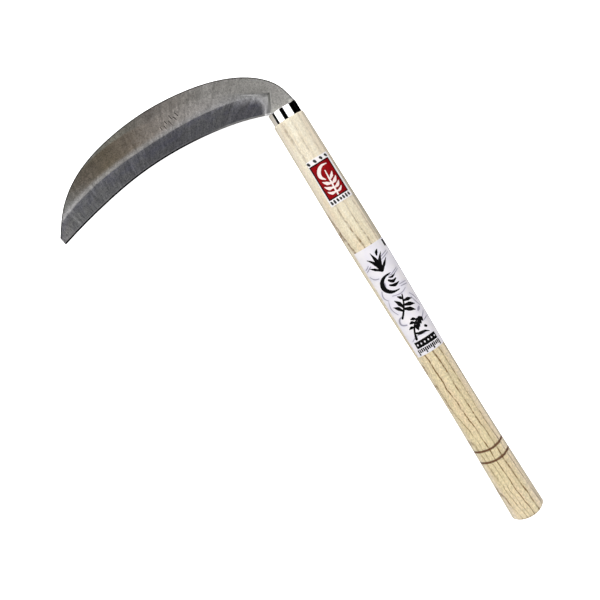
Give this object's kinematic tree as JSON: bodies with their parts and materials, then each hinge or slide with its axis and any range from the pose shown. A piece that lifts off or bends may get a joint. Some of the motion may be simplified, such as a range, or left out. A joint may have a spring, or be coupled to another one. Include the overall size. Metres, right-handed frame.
{
  "type": "hand sickle",
  "caption": "Hand sickle for grass: thin curved single-bevel steel blade on a waisted oval ash handle with a short polished ferrule.",
  "frame": {"origin": "centre of the flat butt end of the handle, on the handle's axis", "axes": "+X along the handle from the butt to the ferrule and blade; +Y from the handle towards the blade's tip; +Z out of the bevelled side, up when the sickle lies on the blade's flat back"},
  "size_m": [0.4435, 0.2211, 0.0232],
  "materials": {
    "blade_steel": "satin stainless, ground hollow and bevel",
    "ferrule_steel": "mirror polished",
    "handle_ash": "sanded bare ash with burned rings",
    "pin_steel": "cut and filed flush",
    "wedge_wood": "bare hardwood",
    "red_label_paper": "smooth printed paper",
    "white_label_paper": "smooth printed paper"
  },
  "bodies": {
    "root": {"blade": "blade_steel", "ferrule": "ferrule_steel", "handle": "handle_ash", "tang_pin": "pin_steel", "tang_wedge": "wedge_wood", "maker_label": "red_label_paper", "size_label": "white_label_paper"}
  },
  "joints": []
}
